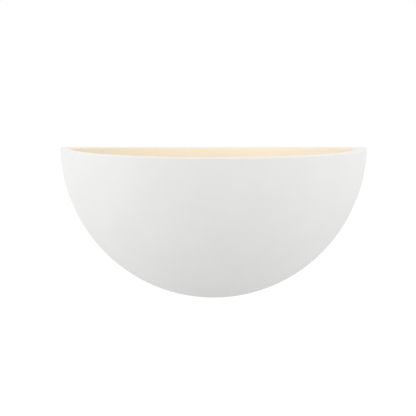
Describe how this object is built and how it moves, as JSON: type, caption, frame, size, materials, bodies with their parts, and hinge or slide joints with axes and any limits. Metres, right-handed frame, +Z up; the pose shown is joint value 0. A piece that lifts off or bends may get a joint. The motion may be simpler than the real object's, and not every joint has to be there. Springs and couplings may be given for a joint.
{
  "type": "uplighter wall sconce",
  "caption": "White plaster half-bowl uplighter with a flat back, over a steel wall bracket that carries a screw lampholder, its lamp and the wiring.",
  "frame": {"origin": "on the wall plane, midway between the wall bracket's two fixing slots, in line with the lamp", "axes": "+Z up, -Y out from the wall into the room (the wall is the plane Y = 0), +X to the right as seen from the room"},
  "size_m": [0.3, 0.15, 0.148],
  "materials": {
    "plaster": "matte",
    "galvanised_steel": "satin",
    "zinc_plated_steel": "satin",
    "brass": "satin",
    "spring_bronze": "satin",
    "nickel_plate": "polished",
    "tinned_copper": "satin",
    "black_glass": "gloss",
    "grommet_rubber": "matte",
    "holder_thermoplastic": "satin",
    "insert_ceramic": "matte",
    "lamp_housing_plastic": "satin",
    "opal_cover": "satin",
    "led_board": "satin",
    "led_phosphor": "satin",
    "driver_board": "satin",
    "block_nylon": "satin",
    "fibre": "matte",
    "insulation_brown": "satin",
    "insulation_blue": "satin",
    "insulation_green_yellow": "satin"
  },
  "bodies": {
    "root": {"wall_bracket": "galvanised_steel", "stud_left": "zinc_plated_steel", "stud_right": "zinc_plated_steel", "cable_grommet": "grommet_rubber", "holder_bridge": "galvanised_steel", "bridge_screws": "zinc_plated_steel", "holder_nipple": "zinc_plated_steel", "nipple_nut": "zinc_plated_steel", "lock_washer": "zinc_plated_steel", "holder_cap": "holder_thermoplastic", "holder_insert": "insert_ceramic", "holder_terminals": "brass", "screw_shell": "brass", "centre_contact": "spring_bronze", "holder_skirt": "holder_thermoplastic", "terminal_block": "block_nylon", "terminal_tubes": "brass", "terminal_screws": "zinc_plated_steel", "block_screw": "zinc_plated_steel", "earth_ring": "tinned_copper", "earth_washer": "brass", "earth_screw": "brass", "wire_live": "insulation_brown", "wire_neutral": "insulation_blue", "wire_earth": "insulation_green_yellow"},
    "bowl": {"bowl": "plaster"},
    "washer_left": {"washer_left": "fibre"},
    "washer_right": {"washer_right": "fibre"},
    "thumb_nut_left": {"thumb_nut_left": "brass"},
    "thumb_nut_right": {"thumb_nut_right": "brass"},
    "lamp_slide": {"lamp_contact": "nickel_plate"},
    "lamp": {"lamp_insulator": "black_glass", "lamp_cap": "nickel_plate", "lamp_housing": "lamp_housing_plastic", "lamp_driver": "driver_board", "lamp_led_board": "led_board", "lamp_led_chips": "led_phosphor", "lamp_globe": "opal_cover"}
  },
  "joints": [
    {"name": "bowl_pull", "type": "slide", "parent": "root", "child": "bowl", "axis": [0, -1, 0], "range_m": [0, 0.13]},
    {"name": "lamp_travel", "type": "slide", "parent": "root", "child": "lamp_slide", "axis": [0, -1, 0], "range_m": [0, 0.0142]},
    {"name": "lamp_turn", "type": "hinge", "parent": "lamp_slide", "child": "lamp", "pos_m": [0, -0.033, 0], "axis": [0, -1, 0], "range_deg": [0, 1800]},
    {"name": "nut_left_travel", "type": "slide", "parent": "bowl", "child": "washer_left", "axis": [0, -1, 0], "range_m": [0, 0.0113]},
    {"name": "nut_left_turn", "type": "hinge", "parent": "washer_left", "child": "thumb_nut_left", "pos_m": [-0.08, -0.011, 0], "axis": [0, -1, 0], "range_deg": [0, 5760]},
    {"name": "nut_right_travel", "type": "slide", "parent": "bowl", "child": "washer_right", "axis": [0, -1, 0], "range_m": [0, 0.0113]},
    {"name": "nut_right_turn", "type": "hinge", "parent": "washer_right", "child": "thumb_nut_right", "pos_m": [0.08, -0.011, 0], "axis": [0, -1, 0], "range_deg": [0, 5760]}
  ],
  "couplings": [
    {"joint": "lamp_travel", "follows": "lamp_turn", "m_per_rad": 0.00044914},
    {"joint": "nut_left_travel", "follows": "nut_left_turn", "m_per_rad": 0.00011141},
    {"joint": "nut_right_travel", "follows": "nut_right_turn", "m_per_rad": 0.00011141}
  ]
}
